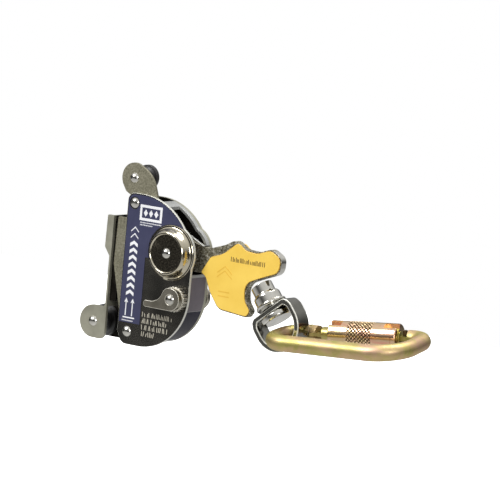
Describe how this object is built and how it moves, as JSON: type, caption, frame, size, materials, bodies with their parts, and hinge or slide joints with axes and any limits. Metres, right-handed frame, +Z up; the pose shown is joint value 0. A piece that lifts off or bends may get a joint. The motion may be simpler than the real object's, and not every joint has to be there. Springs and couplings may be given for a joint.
{
  "type": "cable sleeve fall arrester",
  "caption": "Detachable cable sleeve for a ladder safety system, with a sprung cam handle, a swivel bail and an auto-locking carabiner.",
  "frame": {"origin": "on the axis of the climbed cable, level with the main pivot of the cam handle", "axes": "+Z up along the cable, +X from the cable to the handle and carabiner, front plate facing -Y"},
  "size_m": [0.2661, 0.058, 0.1229],
  "materials": {
    "plate_steel": "dark polished stainless plate",
    "sheet_steel": "bead-blasted stainless sheet",
    "cast_steel": "investment-cast steel, blasted",
    "bright_steel": "polished stainless",
    "spring_steel": "drawn spring wire",
    "yellow_cover": "moulded grip cover, satin yellow",
    "black_roller": "moulded nylon roller",
    "navy_label": "printed film label, navy",
    "grey_label": "printed film label, pale grey",
    "zinc_gold": "yellow zinc-plated forged steel",
    "sleeve_gold": "turned and plated steel",
    "bronze": "sintered bronze"
  },
  "bodies": {
    "body": {"housing": "sheet_steel", "cable_guide": "sheet_steel", "shroud": "sheet_steel", "upper_wall_label": "grey_label", "lower_wall_label": "navy_label", "front_plate": "plate_steel", "front_label": "navy_label", "pivot_dome": "bright_steel", "main_pivot_pin": "bright_steel", "pivot_spacers": "bronze", "stop_rivet": "bright_steel", "gate_rivet": "bright_steel", "lower_axle": "bright_steel", "gate_spring": "spring_steel", "pawl_pin": "bright_steel"},
    "lower_roller": {"lower_roller": "black_roller"},
    "side_gate": {"side_gate": "cast_steel", "upper_axle": "bright_steel"},
    "upper_roller": {"upper_roller": "black_roller"},
    "handle": {"handle_casting": "cast_steel", "handle_bush": "bronze", "front_grip_cover": "yellow_cover", "rear_grip_cover": "yellow_cover", "shoe_pin": "bright_steel", "handle_spring": "spring_steel", "swivel_barrel": "bright_steel", "swivel_stud": "bright_steel", "swivel_washer": "bright_steel"},
    "brake_shoe": {"brake_shoe": "cast_steel"},
    "bail": {"bail": "bright_steel"},
    "carabiner": {"carabiner_frame": "zinc_gold", "gate_hinge_rivet": "zinc_gold"},
    "carabiner_gate": {"carabiner_gate": "zinc_gold", "latch_pin": "zinc_gold", "sleeve_spring": "spring_steel"},
    "lock_sleeve": {"lock_sleeve": "sleeve_gold"},
    "lock_lever": {"front_lock_lever": "bright_steel", "rear_lock_lever": "bright_steel", "lever_shaft": "bright_steel", "lock_dog": "cast_steel", "lever_spring": "spring_steel"},
    "inversion_pawl": {"inversion_pawl": "cast_steel"}
  },
  "joints": [
    {"name": "gate_swing", "type": "hinge", "parent": "body", "child": "side_gate", "pos_m": [0.015, 0, -0.0579], "axis": [0, 1, 0], "range_deg": [0, 11], "stiffness_Nm_per_rad": 0.6, "springref_deg": -20.05},
    {"name": "upper_roller_spin", "type": "hinge", "parent": "side_gate", "child": "upper_roller", "pos_m": [0.0088, 0, 0.0455], "axis": [0, 1, 0], "continuous": true},
    {"name": "lower_roller_spin", "type": "hinge", "parent": "body", "child": "lower_roller", "pos_m": [-0.0162, 0, -0.0559], "axis": [0, 1, 0], "continuous": true},
    {"name": "handle_lift", "type": "hinge", "parent": "body", "child": "handle", "pos_m": [0.0464, 0, 0], "axis": [0, -1, 0], "range_deg": [0, 30], "stiffness_Nm_per_rad": 0.25, "springref_deg": -68.75},
    {"name": "shoe_swing", "type": "hinge", "parent": "handle", "child": "brake_shoe", "pos_m": [0.0189, 0, -0.0024], "axis": [0, -1, 0], "range_deg": [-30, 0]},
    {"name": "bail_swivel", "type": "hinge", "parent": "handle", "child": "bail", "pos_m": [0.1248, 0, -0.0255], "axis": [0.6266, 0, -0.7793], "continuous": true},
    {"name": "carabiner_swing", "type": "hinge", "parent": "bail", "child": "carabiner", "pos_m": [0.13493, -0.0035, -0.04255], "axis": [-0.0097, 0.9903, 0.1388], "range_deg": [-20, 35]},
    {"name": "carabiner_gate_swing", "type": "hinge", "parent": "carabiner", "child": "carabiner_gate", "pos_m": [0.14924, 0.01284, -0.03925], "axis": [0.0691, 0.1392, -0.9879], "range_deg": [0, 20], "stiffness_Nm_per_rad": 0.05, "springref_deg": -45.84},
    {"name": "sleeve_twist", "type": "hinge", "parent": "carabiner_gate", "child": "lock_sleeve", "pos_m": [0.14924, 0.01284, -0.03925], "axis": [0.9803, 0.1741, 0.0931], "range_deg": [0, 75], "stiffness_Nm_per_rad": 0.02, "springref_deg": -45.84},
    {"name": "lever_turn", "type": "hinge", "parent": "body", "child": "lock_lever", "pos_m": [0.0549, 0, -0.0298], "axis": [0, -1, 0], "range_deg": [0, 30], "stiffness_Nm_per_rad": 0.05, "springref_deg": -45.84},
    {"name": "pawl_swing", "type": "hinge", "parent": "body", "child": "inversion_pawl", "pos_m": [0.0414, 0, -0.044], "axis": [0, 1, 0], "range_deg": [-20, 20]}
  ],
  "couplings": [
    {"joint": "shoe_swing", "follows": "handle_lift", "ratio": -1}
  ]
}
